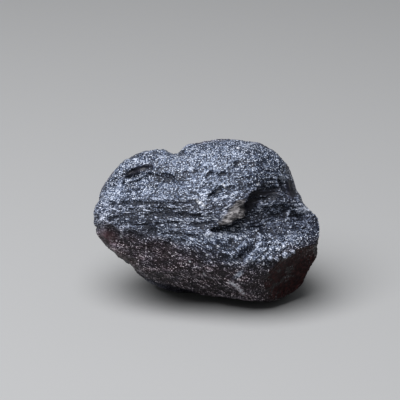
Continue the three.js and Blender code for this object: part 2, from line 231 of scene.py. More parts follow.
# Folds in the broad face, as lines of x, v points, with their half-width and their height: grooves
# where it is below 0, and ribs where it is above. The first are the belt's.
FOLDS = (
    (
        ((-17.8, 3.0), (-15.7, 3.1), (-12.5, 3.3), (-9.2, 3.1), (-5.4, 3.2), (-1.9, 3.4)),
        0.38, -0.46,
    ),
    (((-16.3, 2.4), (-11.6, 2.5), (-8.8, 2.6)), 0.20, 0.16),
    (((-14.4, 2.0), (-11.0, 2.1)), 0.18, -0.14),
    (((-8.8, 2.3), (-5.8, 2.1), (-3.2, 2.2)), 0.18, -0.24),
    (((-17.8, 1.4), (-15.3, 1.2), (-13.1, 1.1)), 0.18, -0.24),
    (((-18.1, 0.2), (-16.6, 0.6), (-15.0, 0.7), (-12.9, 0.4)), 0.28, -0.36),
    (((-10.9, 1.0), (-9.5, 1.2), (-7.3, 1.3), (-5.0, 0.9), (-3.2, 1.0), (-1.5, 0.8)), 0.40, -0.50),
    (((-9.2, -0.6), (-6.9, -0.4), (-5.4, -0.5)), 0.20, -0.26),
    (((-15.9, -0.6), (-12.9, -0.9), (-10.7, -0.7)), 0.20, -0.26),
    (((-3.2, -0.8), (-1.3, -0.6), (1.1, -0.3)), 0.24, -0.30),
    (((-11.2, -1.1), (-9.7, -1.9)), 0.55, -0.32),
    (((-14.4, -2.2), (-10.7, -3.1)), 0.22, -0.24),
    (((-8.0, -2.4), (-5.0, -2.4), (-2.2, -3.0)), 0.30, -0.34),
    (((-19.9, -0.3), (-18.7, 1.3)), 0.20, 0.24),
    (((0.2, -2.5), (3.6, -2.7)), 0.60, 0.50),
    (((3.4, -1.8), (6.4, -1.6)), 0.45, 0.35),
    # on the slope above the belt, and in and beside the crescent pit
    (((-3.0, 5.0), (-2.2, 5.0), (-1.3, 4.3)), 0.26, -0.34),
    (((-12.5, 5.0), (-12.2, 5.1)), 0.26, -0.28),
    (((-9.2, 7.4), (-6.9, 7.2)), 0.26, -0.28),
    (((-14.6, 7.3), (-12.9, 7.9), (-11.4, 8.6)), 0.42, 0.60),
    (((-14.9, 8.6), (-13.4, 9.2), (-11.8, 9.7), (-10.6, 9.9)), 0.42, -0.50),
    (((-10.4, 8.5), (-9.2, 8.1), (-8.0, 7.8), (-6.4, 7.5)), 0.26, -0.42),
    (((-9.5, 7.1), (-7.6, 7.2)), 0.20, -0.26),
    (((-10.6, 6.5), (-9.3, 6.2)), 0.22, -0.26),
    # on the dome
    (((-0.3, 7.9), (0.2, 8.4), (0.9, 8.7)), 0.36, -0.48),
    (((2.0, 8.4), (3.0, 8.6)), 0.40, -0.42),
    (((-3.9, 8.7), (-3.6, 8.9)), 0.36, -0.32),
    (((-2.4, 8.9), (-1.9, 9.0)), 0.36, -0.30),
    (((5.2, 10.1), (5.8, 11.0)), 0.60, -0.36),
    (((-0.9, 10.0), (0.9, 10.4)), 0.30, 0.28),
    # on the sheet that ends in the lip
    (((1.3, 3.7), (3.6, 4.3), (5.4, 5.0)), 0.22, 0.26),
    (((2.8, 3.0), (4.7, 3.6), (6.5, 3.9)), 0.22, 0.26),
    (((1.3, 2.2), (3.2, 2.8)), 0.26, -0.26),
    (((0.2, 4.5), (2.6, 5.2)), 0.24, -0.24),
    (((3.4, 5.9), (4.9, 6.0)), 0.30, -0.34),
    # in the gouge and right of it
    (((8.4, 4.5), (10.8, 4.5)), 0.20, 0.28),
    (((10.5, 2.3), (12.7, 2.4)), 0.38, -0.42),
    (((13.8, 2.7), (13.9, 2.5)), 0.36, -0.44),
    (((15.4, 2.2), (14.9, 1.2), (14.6, 0.1)), 0.24, 0.45),
    (((16.3, 0.7), (16.8, 0.7)), 0.36, -0.34),
    (((15.9, -1.3), (16.3, -1.5)), 0.40, -0.44),
    (((17.8, -1.6), (18.1, -1.5)), 0.30, -0.32),
    (((5.4, -1.4), (8.0, -1.2), (10.3, -1.2)), 0.26, -0.44),
    # the slanting pit and the ribs beside it
    (((8.5, -4.8), (7.0, -5.7), (6.0, -6.8)), 0.50, -1.05),
    (((6.7, -4.3), (5.0, -5.5), (4.1, -7.3)), 0.36, 0.28),
    (((9.6, -4.3), (8.2, -6.2), (6.8, -8.0)), 0.45, 0.40),
    (((9.6, -4.9), (8.0, -6.6), (6.8, -8.1)), 0.16, -0.24),
    (((11.4, -5.0), (9.6, -6.8), (8.0, -8.4)), 0.22, -0.36),
    (((4.6, -3.9), (3.4, -4.9)), 0.55, -0.40),
    # the right pit is filled a little and wider
    (((13.7, 7.8), (14.5, 6.0), (15.2, 4.6)), 0.50, 0.55),
    (((15.2, 6.8), (15.4, 5.8)), 1.10, -0.45),
)

# Places where the skin lies a little deeper or prouder, all round the lump's edge: x, v,
# half-lengths, turn and height.
TRIMS = (
    ((-6.2, 12.8), (2.4, 0.9), 0, -0.45), ((21.0, -5.1), (1.2, 1.5), 0, -0.70),
    ((-20.4, 4.0), (0.8, 0.8), 0, -0.3), ((19.8, 1.7), (1.8, 1.2), -40, -0.45),
    ((21.2, -1.6), (0.8, 1.6), 0, -0.25), ((20.2, -8.0), (1.2, 1.6), 20, 0.22),
)

# Beads of glass that stand out of the skin: x, v and radius.
BEADS = (
    (11.8, -5.1, 0.55), (12.4, -5.2, 0.50), (13.1, -5.4, 0.56), (14.0, -4.7, 0.56),
    (14.2, -6.4, 0.68), (11.4, -6.9, 0.52), (12.7, -7.1, 0.50), (11.0, -7.9, 0.42),
    (15.7, -5.8, 0.44), (15.1, -6.3, 0.38), (7.1, -4.7, 0.38), (6.0, -3.4, 0.35),
    (11.4, -3.9, 0.38), (10.7, -5.4, 0.38), (9.5, -6.4, 0.35), (16.6, -4.3, 0.36),
    (10.3, -7.9, 0.35), (-15.7, 3.9, 0.40), (-13.5, 4.9, 0.46), (-5.4, 4.3, 0.38),
)

# Flecks where a chip has left the glass white, and painted glints: x, v and radius.
FLECKS_AND_GLINTS = (
    (-1.8, 3.6, 0.30), (-1.35, 3.2, 0.30), (-0.7, 2.7, 0.28), (2.9, 6.5, 0.26), (3.2, 6.1, 0.22),
    (-3.2, -7.5, 0.18), (-0.6, -9.7, 0.20), (0.0, -6.2, 0.18), (1.9, -4.7, 0.18), (5.6, 13.4, 0.14),
    (-13.5, 4.9, 0.16), (14.0, -4.6, 0.22), (13.0, -5.3, 0.20), (9.3, 6.6, 0.18),
    (-15.9, -2.9, 0.20), (4.1, -11.3, 0.24), (4.6, -11.6, 0.28), (5.1, -11.9, 0.32),
    (5.6, -12.3, 0.28), (6.2, -12.9, 0.34), (6.6, -13.5, 0.28),
)

# Pale patches low on the belly: x, v, half-lengths, turn, how pale and how frosted.
PATCHES = (
    ((4.7, -11.8), (1.2, 0.4), -18, 1.0, 0.25), ((5.8, -12.6), (1.2, 0.45), -36, 1.0, 0.25),
    ((5.8, -9.8), (1.5, 0.6), 42, 0.45, 1.0),
)

# Paler places, partly ribs and corners rubbed pale and partly painted light: x, v, half-lengths,
# turn and how much.
RUBBED_AND_PAINTED_LIGHT = (
    ((12.4, 3.3), (2.4, 0.5), 9, 0.1), ((11.0, -0.3), (2.6, 0.6), 0, 0.3),
    ((14.9, 1.3), (0.35, 1.1), 12, 0.35), ((-19.2, 2.4), (1.2, 2.8), 0, 0.4),
    ((18.6, 2.2), (2.6, 1.0), -38, 0.9), ((19.4, -1.2), (1.4, 2.2), 0, 0.45),
    ((12.0, -2.6), (4.0, 1.9), 0, 0.16), ((-19.2, 0.6), (1.1, 0.3), 54, 0.4),
    ((-18.3, -2.6), (1.3, 1.1), 0, 0.55), ((-13.5, 11.0), (3.0, 2.0), 30, 0.15),
    ((-16.8, 5.4), (2.2, 2.0), 20, 0.35), ((-13.5, 6.8), (2.2, 0.8), 15, 0.4),
    ((-11.2, 2.1), (1.6, 0.4), 0, 0.35), ((-3.0, 0.0), (4.5, 0.7), 2, 0.4),
    ((-0.2, 4.6), (1.3, 0.5), 20, 0.4), ((4.0, 4.2), (2.0, 0.5), 15, 0.35),
    ((-7.3, -4.1), (2.4, 0.5), -8, 0.4), ((0.6, -2.7), (1.2, 0.5), 0, 0.4),
    ((1.5, 11.5), (5.0, 2.4), 0, 0.12), ((2.6, 1.4), (3.2, 1.5), 20, 0.3),
    ((5.8, -1.0), (1.5, 0.7), -10, 0.9), ((8.4, -6.0), (2.4, 0.6), 52, 0.2),
    ((11.5, 0.6), (4.5, 1.4), 0, 0.15), ((3.4, -3.0), (3.4, 0.5), 0, 0.6),
    ((-1.5, 7.0), (4.5, 4.0), 20, 0.15), ((-3.2, -10.3), (3.0, 1.0), 0, 0.55),
    ((-14.8, 8.2), (0.8, 0.5), 20, 0.35), ((-17.6, -4.4), (1.2, 0.8), -35, 0.22),
    ((12.2, 2.3), (1.6, 0.7), 0, 0.35), ((-3.2, 10.8), (1.0, 0.7), 0, 0.4),
    ((1.2, 6.6), (0.6, 0.8), 0, 0.4), ((-8.2, 6.2), (0.8, 0.5), 0, 0.4),
    ((-10.5, 2.2), (1.2, 0.5), 0, 0.35), ((-16.3, 1.4), (1.4, 0.6), 0, 0.3),
    ((14.6, 2.8), (0.6, 0.6), 0, 0.5), ((10.0, 1.9), (1.2, 0.9), 0, 0.45),
    ((-0.8, 0.2), (1.0, 0.5), 0, 0.35), ((1.5, 0.0), (0.6, 0.4), 0, 0.35),
    ((12.2, -4.8), (1.2, 0.6), 0, 0.25), ((14.6, -3.4), (1.6, 0.8), 0, 0.2),
    ((17.9, 1.4), (1.0, 0.7), 0, 0.3),
)

# Places painted dark as shade, where the light hardly reaches: x, v, half-lengths, turn and how
# dark.
PAINTED_SHADE = (
    ((-13.2, 9.0), (2.4, 0.6), 25, 0.45), ((-9.6, 0.6), (0.5, 0.4), 0, 0.5),
    ((-11.2, 9.5), (1.0, 0.5), 10, 0.4), ((-10.4, 9.5), (0.4, 1.7), 0, 0.5),
    ((-7.6, 8.0), (2.2, 0.8), -8, 0.45), ((10.8, 4.9), (3.0, 0.6), 0, 0.3),
    ((11.6, 0.8), (3.2, 0.45), 4, 0.3), ((8.6, 0.2), (1.4, 0.6), 0, 0.6),
    ((10.8, 3.8), (1.4, 0.5), 0, 0.5), ((12.4, -1.8), (1.7, 1.1), 0, 0.4),
    ((15.7, 4.7), (0.8, 0.9), 0, 1.0), ((5.2, -6.0), (0.7, 1.2), 0, 0.7),
    ((-20.0, 2.8), (0.9, 1.6), 0, 0.3), ((-13.2, 9.2), (1.6, 0.4), 20, 0.35),
    ((-10.6, -5.0), (1.8, 1.0), 0, 0.35), ((8.0, 12.8), (1.4, 1.0), 0, 0.35),
    ((10.8, 9.3), (0.8, 0.8), 0, 0.3), ((0.4, 2.2), (0.6, 0.8), 0, 0.4),
    ((10.3, 4.8), (1.0, 0.5), 0, 0.4), ((10.4, -1.6), (0.9, 1.1), 0, 0.4),
    ((20.4, 0.3), (0.8, 1.0), 0, 0.4), ((15.1, -2.6), (0.9, 0.6), 0, 0.35),
    ((-14.4, -1.9), (1.0, 0.8), 0, 0.3), ((19.9, -2.2), (1.2, 3.0), 0, 0.6),
    ((6.9, -5.9), (1.6, 0.6), 42, 0.45), ((3.4, -5.4), (1.8, 1.1), 0, 0.5),
    ((0.7, -5.2), (1.2, 1.0), 0, 0.3), ((-10.4, -1.5), (1.2, 0.7), -25, 0.5),
    ((11.5, -10.5), (2.6, 2.8), 0, 0.5), ((16.2, 0.9), (0.8, 0.5), 0, 0.2),
    ((13.6, 4.2), (1.8, 0.8), 0, 0.4), ((-16.8, 10.8), (1.2, 3.5), -50, 0.25),
    ((12.6, 12.2), (2.6, 1.4), -45, 0.25), ((-8.0, -7.8), (2.5, 1.6), -20, 0.25),
    ((7.3, 2.6), (0.7, 1.3), 0, 0.8), ((10.2, 6.7), (2.4, 0.9), 8, 0.6),
    ((13.4, 5.6), (1.5, 1.0), 0, 0.35), ((12.6, -2.6), (1.4, 1.2), 0, 0.25),
    ((-12.5, -7.0), (1.5, 1.0), 0, 0.25), ((-5.5, -7.0), (2.4, 1.4), 0, 0.3),
    ((19.6, -4.6), (2.6, 0.8), 15, 0.5), ((-12.5, 12.4), (5.0, 1.6), 18, 0.22),
    ((-18.6, 6.6), (1.2, 1.6), -30, 0.35),
)

# Hollows and facets of smooth glass without grains: x, v, half-lengths, turn and how smooth.
CLEAN = (
    ((-18.5, -2.6), (1.2, 0.9), -10, 1.0), ((-13.7, 8.9), (2.0, 0.6), 25, 1.0),
    ((-11.4, 9.7), (1.5, 0.4), 15, 0.6), ((-17.8, -4.2), (1.4, 0.8), -35, 0.8),
    ((15.2, 6.2), (0.8, 1.5), 10, 0.9), ((15.6, 4.9), (0.7, 1.0), 0, 0.9),
    ((10.4, 5.3), (2.8, 0.5), 3, 0.6), ((7.5, 2.6), (0.9, 1.8), -30, 0.7),
    ((10.5, 4.9), (2.6, 0.5), 3, 0.5), ((8.8, 3.4), (0.9, 0.7), 0, 0.6),
    ((4.9, 1.5), (2.6, 1.3), 42, 0.7),
)

# Brown places, partly the glass's own and partly a painted warm reflection: x, v, half-lengths,
# turn and how much.
BROWN_AND_REFLECTION = (
    ((-18.2, -2.8), (1.5, 1.1), 0, 1.0), ((-15.5, -7.6), (2.6, 1.2), -40, 1.0),
)


class Skin:
    """The skin's points as the drawing's x, v, w in millimetres, with the masks of its parts."""

    def __init__(self, mesh):
        self.mesh = mesh
        self.co, self.normal = read(mesh, "co"), read(mesh, "normal")
        sin, cos = math.sin(LEAN), math.cos(LEAN)
        mm = self.co / MM - ORIGIN
        self.x = mm[:, 0]
        self.v = mm[:, 1] * sin + mm[:, 2] * cos
        self.w = mm[:, 2] * sin - mm[:, 1] * cos
        self.mm = np.stack([self.x, self.v, self.w], 1)
        self.outward = self.normal[:, 2] * sin - self.normal[:, 1] * cos
        upward = self.normal[:, 1] * sin + self.normal[:, 2] * cos
        self.facing = np.stack([self.normal[:, 0], upward, self.outward], 1)
        # 1 on the broad face, 0 on the back
        self.front = smoothstep(-0.1, 0.3, self.outward) * smoothstep(-1, 3, self.w)
        # 0 on the flat spot
        self.rest = smoothstep(0.1, 1.2, self.co[:, 2] / MM)

    def push_out(self, height_mm):
        """Moves each point out along its normal."""
        moved = self.co + self.normal * (height_mm * MM)[:, None]
        self.mesh.vertices.foreach_set("co", moved.astype(np.float32).ravel())
        self.mesh.update()

    def pull(self, across_mm, up_mm):
        """Moves each point along the drawing's x and v."""
        moved = self.co.copy()
        moved[:, 0] += across_mm * MM
        moved[:, 1] += up_mm * math.sin(LEAN) * MM
        moved[:, 2] += up_mm * math.cos(LEAN) * MM
        self.mesh.vertices.foreach_set("co", moved.astype(np.float32).ravel())
        self.mesh.update()

    def lane(self):
        """Which flow line a point is on: 0 along the belt's middle, 1 and -1 at its edges."""
        middle = np.interp(self.x, BELT_MIDDLE["x"], BELT_MIDDLE["v"])
        half = np.interp(self.x, BELT_HALF["x"], BELT_HALF["v"])
        return (self.v - middle) / half

    def belt(self):
        """1 on the belt of flow ridges across the broad face."""
        return np.exp(-np.abs(self.lane() / 1.15) ** 4) * self.front

    def hill(self, at, size, turn):
        """A rounded hill, 1 at its middle."""
        angle = math.radians(turn)
        along = (self.x - at[0]) * math.cos(angle) + (self.v - at[1]) * math.sin(angle)
        across = (self.v - at[1]) * math.cos(angle) - (self.x - at[0]) * math.sin(angle)
        return np.exp(-((along / size[0]) ** 2) - (across / size[1]) ** 2)

    def slanted(self, climb):
        """Along and across lines that climb this much to the right."""
        return self.x + climb * self.v, self.v - climb * self.x

    def from_line(self, line):
        """Distance in the x, v plane to a line of points."""
        point, line = self.mm[:, :2], np.asarray(line, float)
        best = np.full(len(point), 1e9)
        for a, b in zip(line[:-1], line[1:]):
            along = b - a
            t = np.clip(((point - a) @ along) / (along @ along), 0, 1)
            best = np.minimum(best, np.linalg.norm(point - a - t[:, None] * along, axis=1))
        return best

    def from_outline(self, outline):
        """Distance to an outline in the x, v plane, negative inside it."""
        within = np.zeros(len(self.x), bool)
        for (x0, v0), (x1, v1) in zip(outline, np.roll(outline, -1, axis=0)):
            crosses = (v0 > self.v) != (v1 > self.v)
            at = x0 + (self.v - v0) / np.where(v1 == v0, 1e-9, v1 - v0) * (x1 - x0)
            within ^= crosses & (self.x < at)
        distance = self.from_line(np.vstack([outline, outline[:1]]))
        return np.where(within, -distance, distance)

    def proud(self, rounds):
        """How far each point stands out of the skin round it, which is averaged so many rounds."""
        ends = np.zeros(len(self.mesh.edges) * 2, np.int32)
        self.mesh.edges.foreach_get("vertices", ends)
        a, b = ends.reshape(-1, 2).T
        count = len(self.co)
        neighbours = np.bincount(a, minlength=count) + np.bincount(b, minlength=count)
        soft = self.co.copy()
        for _ in range(rounds):
            for axis in range(3):
                value = soft[:, axis]
                total = np.bincount(a, value[b], count) + np.bincount(b, value[a], count)
                soft[:, axis] = (value + total / neighbours) / 2
        return np.einsum("ij,ij->i", self.co - soft, self.normal) / MM

    def from_break(self):
        """Distance to the ball that the broken bowl is part of."""
        off = np.abs(np.linalg.norm(self.mm - BREAK_CENTRE, axis=1) - BREAK_RADIUS)
        return np.where((self.w > 0) & (self.v < -2), off, 9.0)

    def broken(self):
        """1 on the smooth broken bowl at the lower right."""
        off = self.from_break() + 0.16 * gradient_noise(self.mm / 1.6, seed=35)
        off += 0.12 * gradient_noise(self.mm / 0.6, seed=36)
        # towards the tip it runs on to the lump's edge
        off -= 0.5 * smoothstep(15.5, 18, self.x) * smoothstep(-3.5, -6.0, self.v)
        # the edge that rolls over out of the bowl isn't broken
        to_centre = BREAK_CENTRE - self.mm
        to_centre /= np.linalg.norm(to_centre, axis=1, keepdims=True)
        level = smoothstep(0.84, 0.95, np.einsum("ij,ij->i", self.facing, to_centre))
        return level * (1 - smoothstep(0.10, 0.34, off)) * (self.v < -3) * (1 - self.beaded())

    def beaded(self):
        """1 on the beads."""
        mask = np.zeros_like(self.x)
        for at_x, at_v, radius in BEADS:
            off = np.hypot(self.x - at_x, self.v - at_v) / radius
            mask = np.maximum(mask, 1 - smoothstep(0.7, 1.2, off))
        return mask * self.front

    def folded(self):
        """Height of the folds, each a little crooked along its length."""
        crooked = 0.10 * gradient_noise(self.mm / 0.9, seed=22)
        height = np.zeros_like(self.x)
        for line, half_width, rise in FOLDS:
            distance = self.from_line(line) + crooked
            height += rise * np.exp(-((distance / half_width) ** 2))
        return height * self.front

    def places(self, rows):
        """The hills at a table's places, whose rows end in how much, added up to 1 at most."""
        return np.clip(sum(much * self.hill(*place) for *place, much in rows), 0, 1) * self.front

    def above_valley(self):
        """Height over the gouge's floor."""
        bottom = np.interp(self.x, VALLEY["x"], VALLEY["w"])
        across = self.v - np.interp(self.x, VALLEY["x"], VALLEY["v"])
        slope = np.where(across > 0, VALLEY_SLOPE["above"], VALLEY_SLOPE["below"])
        return self.w - bottom - slope * np.abs(across)

    def gouged(self):
        """1 on the gouge's floor."""
        above = self.above_valley()
        near = smoothstep(-2.4, -1.6, above) * (1 - smoothstep(0.6, 1.4, above))
        return near * smoothstep(1, 4, self.x) * self.front


def tear_lip(mesh):
    """Teeth and notches in the edge of the sheet."""
    skin = Skin(mesh)
    sheet = smoothstep(0.4, 1.4, skin.above_valley()) * (skin.w > 0)
    across, up = np.zeros_like(skin.x), np.zeros_like(skin.x)
    for (at_x, at_v), reach, (by_x, by_v) in TEETH:
        near = sheet * np.exp(-((skin.x - at_x) ** 2 + (skin.v - at_v) ** 2) / reach**2)
        across += by_x * near
        up += by_v * near
    skin.pull(across, up)


def raise_flow(mesh):
    """Flow lines, folds, beads, unevenness and pits, of half a millimetre and more."""
    skin = Skin(mesh)
    x, v, w, mm = skin.x, skin.v, skin.w, skin.mm
    lane, gouged, broken = skin.lane(), skin.gouged(), skin.broken()
    belt = skin.belt() * (1 - 0.6 * gouged)
    warp = 0.4 * gradient_noise(mm / (11, 6, 9), seed=11)
    coarse = ridged(np.stack([x / 10, lane * 2.3 + warp, w / 9], 1), seed=12)
    fine = ridged(np.stack([x / 6, lane * 6.0 + 2 * warp, w / 9], 1), seed=13)
    height = belt * (0.09 * coarse + 0.10 * fine)
    # the belly's streaks run down to the right
    along, across = skin.slanted(BELLY_CLIMB)
    streaks = ridged(np.stack([along / 5, across / 1.3, w / 5], 1), seed=14)
    height += (1 - belt) * (1 - gouged) * 0.10 * streaks
    height += (1 - 0.5 * belt) * (
        0.19 * gradient_noise(mm / 2.6, seed=15) + 0.11 * gradient_noise(mm / 1.3, seed=16)
    )
    # the sheet's striations climb to the right
    along, across = skin.slanted(SHEET_CLIMB)
    striae = ridged(np.stack([along / 4.5, across, w / 5], 1), seed=26)
    height += 0.08 * skin.hill(*SHEET) * skin.front * striae
    uneven = 0.9 + 0.45 * gradient_noise(mm / 1.5, seed=23)
    height += 0.8 * uneven * skin.folded()
    bumpy = 0.05 * gradient_noise(mm / 0.9, seed=22) + 0.10 * gradient_noise(mm / 0.45, seed=27)
    for at_x, at_v, radius in BEADS:
        off = np.hypot(x - at_x, v - at_v) + bumpy
        dome = np.sqrt(np.clip(1 - (off / radius) ** 2, 0, 1))
        moat = np.exp(-(((off - 1.15 * radius) / 0.16) ** 2))
        height += (0.55 * radius * dome - 0.14 * moat) * skin.front
    # pits, some to every few millimetres
    near, share = grains(mm / 2.4, seed=20)
    pit = (share > 0.5) * (1 - smoothstep(0.0, 0.12 + 0.16 * share, near))
    height -= 0.20 * pit
    # layers on the gouge's floor
    layers = ridged(np.stack([x / 6, (v - 0.12 * x) / 0.8, w / 3], 1), seed=21)
    height += gouged * 0.18 * layers
    # faint ripples and dimples on the break
    smooth = 0.10 * gradient_noise(mm / 3.2, seed=24)
    smooth += 0.05 * gradient_noise(mm / (2.2, 0.7, 1.4), seed=25)
    height = height * (1 - broken) + smooth * broken
    for *place, rise in TRIMS:
        height += rise * skin.hill(*place) * smoothstep(-9, -7, w)
    skin.push_out(skin.rest * height)


def raise_grain(mesh, settings):
    """The skin of grains and etched pits, under a millimetre."""
    skin = Skin(mesh)
    belt = skin.belt()
    # the belt's grains are drawn out along the flow
    mm = skin.mm * np.stack([1 - 0.55 * belt, np.ones_like(belt), np.ones_like(belt)], 1)
    near, share = grains(mm / (settings.grain_width / MM), seed=17)
    dome = 1 - (near / 0.7) ** 2
    grain = settings.grain_height / MM * (1 - 0.55 * belt) * dome * (0.45 + 0.95 * share)
    grain += 0.06 * gradient_noise(mm / 0.42, seed=18)
    kept = (1 - 0.96 * skin.broken()) * (1 - 0.75 * skin.places(CLEAN))
    skin.push_out(grain * skin.rest * kept)


def mark(mesh):
    """Attributes that the materials read."""
    skin = Skin(mesh)
    x, v, w, mm, front = skin.x, skin.v, skin.w, skin.mm, skin.front
    lane, belt, gouged, broken = skin.lane(), skin.belt(), skin.gouged(), skin.broken()
    beaded, smooth, painted_shade = skin.beaded(), skin.places(CLEAN), skin.places(PAINTED_SHADE)
    patches = skin.places([row[:4] for row in PATCHES])
    whitened = skin.places([(*row[:3], row[4]) for row in PATCHES])

    # the flow's lines, about one to a millimetre, and how deep they're grooved: along the belt,
    # down to the right below it and up to the right on the sheet
    below = smoothstep(-0.8, -1.8, lane)
    sheet = skin.hill(*SHEET_STREAKS)
    across_flow = (1 - sheet) * (2.6 * lane + 0.22 * x * below) + sheet * 1.1 * (v - 0.42 * x)
    across_flow += 0.5 * gradient_noise(mm / 5, seed=31)
    grooved = 1.2 * belt * (1 - 0.4 * smoothstep(8, 12, x))
    grooved += 1.1 * below * (1 - smoothstep(5, 10, x))
    grooved = np.clip(0.15 + grooved + 0.65 * sheet, 0, 1.4)

    # what stands out is painted pale, partly as wear and partly as light, and what lies deep is
    # painted dark as shade
    beside_break = np.exp(-((skin.from_break() / 1.4) ** 2)) * smoothstep(8.5, 13, x)
    beside_break *= (1 - broken) * (1 - beaded)
    wear_light_and_shade = 0.5 + skin.proud(rounds=6) + 0.5 * np.clip(skin.proud(rounds=60), -0.3, 0.4)
    wear_light_and_shade += 0.18 * gradient_noise(mm / 2.2, seed=37) + 0.8 * patches - 0.5 * painted_shade
    wear_light_and_shade -= 0.09 * belt * smoothstep(-19, -16, x) + 0.30 * beside_break
    # the folds' grooves are painted dark as shade and their ribs pale
    wear_light_and_shade += 0.5 * skin.places(RUBBED_AND_PAINTED_LIGHT) + 0.6 * np.clip(skin.folded(), -0.7, 0.4)

    # frosted and painted as lit above, barer, browner and painted in shade on the belly
    line = np.interp(x, FROST_AND_LIGHT_LINE["x"], FROST_AND_LIGHT_LINE["v"])
    frost_and_light = smoothstep(-2.4, 2.4, v - line + 1.2 * gradient_noise(mm / 3, seed=32))
    frost_and_light = frost_and_light * front + (1 - front) * (0.55 + 0.35 * gradient_noise(mm / 5, seed=33))
    wear_light_and_shade -= 0.06 * (1 - smoothstep(0.2, 0.8, frost_and_light)) * front
    frost_and_light = np.maximum(frost_and_light, 0.16 + 0.22 * gradient_noise(mm / (2.4, 0.9, 2.0), seed=39))
    frost_and_light = np.maximum(frost_and_light, whitened) - 0.1 * belt - 0.1 * painted_shade - 0.3 * beside_break
    frost_and_light = np.maximum(frost_and_light, 0.8 * beaded) * (1 - 0.35 * smooth)

    fleck_and_glint = np.zeros_like(x)
    for at_x, at_v, radius in FLECKS_AND_GLINTS:
        off = np.hypot(x - at_x, v - at_v) + 0.12 * gradient_noise(mm / 0.5, seed=38)
        fleck_and_glint = np.maximum(fleck_and_glint, 1 - smoothstep(0.6 * radius, 1.2 * radius, off))
    # the flake's edge is torn along the sheet's striations
    along, across = skin.slanted(SHEET_CLIMB)
    streaked = gradient_noise(np.stack([along / 1.6, across / 0.45, w / 2], 1), seed=34)
    flake = 1 - smoothstep(0.05, 0.45, skin.from_outline(FLAKE) + 0.238 * streaked)

    set_attribute(mesh, "flow", np.stack([x, across_flow, w / 4], 1))
    set_attribute(mesh, "grooved", grooved * front + 0.5 * (1 - front))
    set_attribute(mesh, "wear_light_and_shade", np.clip(wear_light_and_shade, 0, 1))
    set_attribute(mesh, "frost_and_light", np.clip(frost_and_light, 0, 1))
    set_attribute(mesh, "brown_and_reflection", skin.places(BROWN_AND_REFLECTION))
    # the back is less grainy
    set_attribute(mesh, "smooth", np.maximum(smooth, 0.5 * (1 - front) ** 2))
    set_attribute(mesh, "fleck_and_glint", fleck_and_glint * front)
    set_attribute(mesh, "flake", flake * front * (1 - gouged))
    set_attribute(mesh, "broken", broken)
    set_attribute(mesh, "heart", skin.hill(*BREAK_HEART))


# ---- Settings ----------------------------------------------------------------------------------


class LumpSettings(bpy.types.PropertyGroup):
    mesh_step: bpy.props.FloatProperty(
        name="Mesh step", description="Size of the mesh's squares before it is thinned",
        default=0.14 * MM, unit="LENGTH", precision=5,
    )
    grain_width: bpy.props.FloatProperty(
        name="Grain width", description="Spacing of the skin's grains",
        default=0.48 * MM, unit="LENGTH", precision=5,
    )
    grain_height: bpy.props.FloatProperty(
        name="Grain height", description="Height of the skin's grains",
        default=0.08 * MM, unit="LENGTH", precision=5,
    )
    # the palest frosted skin, painted as lit
    frosted_and_lit_colour: bpy.props.FloatVectorProperty(
        name="Frosted colour", description="The palest of the frosted skin above",
        default=linear("#b6bcc6"), subtype="COLOR", size=4, min=0, max=1,
    )
    # the palest of the belly, painted in shade and with a warm reflection
    bare_and_shaded_colour: bpy.props.FloatVectorProperty(
        name="Bare colour", description="The palest of the barer skin on the belly",
        default=linear("#cac0c4"), subtype="COLOR", size=4, min=0, max=1,
    )
    # also the colour of the painted glints
    fleck_and_glint_colour: bpy.props.FloatVectorProperty(
        name="Fleck colour", description="The flecks where a chip has left the glass white",
        default=linear("#d2d5dc"), subtype="COLOR", size=4, min=0, max=1,
    )


class StageSettings(bpy.types.PropertyGroup):
    distance: bpy.props.FloatProperty(
        name="Camera distance", description="From the lump's middle to the camera",
        default=0.42, unit="LENGTH",
    )
    light: bpy.props.FloatProperty(
        name="Light", description="Strength of the soft light overhead", default=7.5, unit="POWER",
    )
    light_size: bpy.props.FloatProperty(
        name="Light size", description="Width of the soft light overhead",
        default=0.55, unit="LENGTH",
    )
    floor_colour: bpy.props.FloatVectorProperty(
        name="Floor colour", description="The floor's matt paper",
        default=linear("#828281"), subtype="COLOR", size=4, min=0, max=1,
    )


# ---- The lump ----------------------------------------------------------------------------------

# The surface is thinned to this many triangles.
TRIANGLES = 195000

# Rounds of smoothing, first all over and then away from the lip, fading in by so many steps.
SMOOTHED, SMOOTHED_SOFT, SOFT_STEPS = 2, 16, 10

# Where the "broken" attribute is above this, the glass is the freshly broken one.
FRESH_ABOVE = 0.96

# Sizes of the glass's patterns. Its real etch pits go down to a twentieth of a millimetre, which is
# too fine to show, and so grains and grit are drawn as coarse as this.
GRAIN, GRAIN_BEND, GRIT = 0.24 * MM, 0.22 * MM, 0.30 * MM
SPECK, SPECK_BEND, CLOUD = 0.34 * MM, 0.40 * MM, 0.50 * MM

# How many grooves, streaks and drawn-out grains there are to a millimetre across the flow.
GROOVES, STREAKS, DRAWN_GRAINS = 3.2, 6.5, 5.6

# Shader nodes by what they do, and the settings that several share.
ATTRIBUTE, NOISE, CELLS = "ShaderNodeAttribute", "ShaderNodeTexNoise", "ShaderNodeTexVoronoi"
MAPPING, SEPARATE, VECTOR = "ShaderNodeMapping", "ShaderNodeSeparateColor", "ShaderNodeVectorMath"
MATH, MIX, RANGE, RAMP = (
    "ShaderNodeMath", "ShaderNodeMix", "ShaderNodeMapRange", "ShaderNodeValToRGB",
)
EASED = {"interpolation_type": "SMOOTHSTEP"}
TIMES, PLUS, TIMES_PLUS = (
    {"operation": "MULTIPLY"}, {"operation": "ADD"}, {"operation": "MULTIPLY_ADD"},
)
COLOURS = {"data_type": "RGBA"}


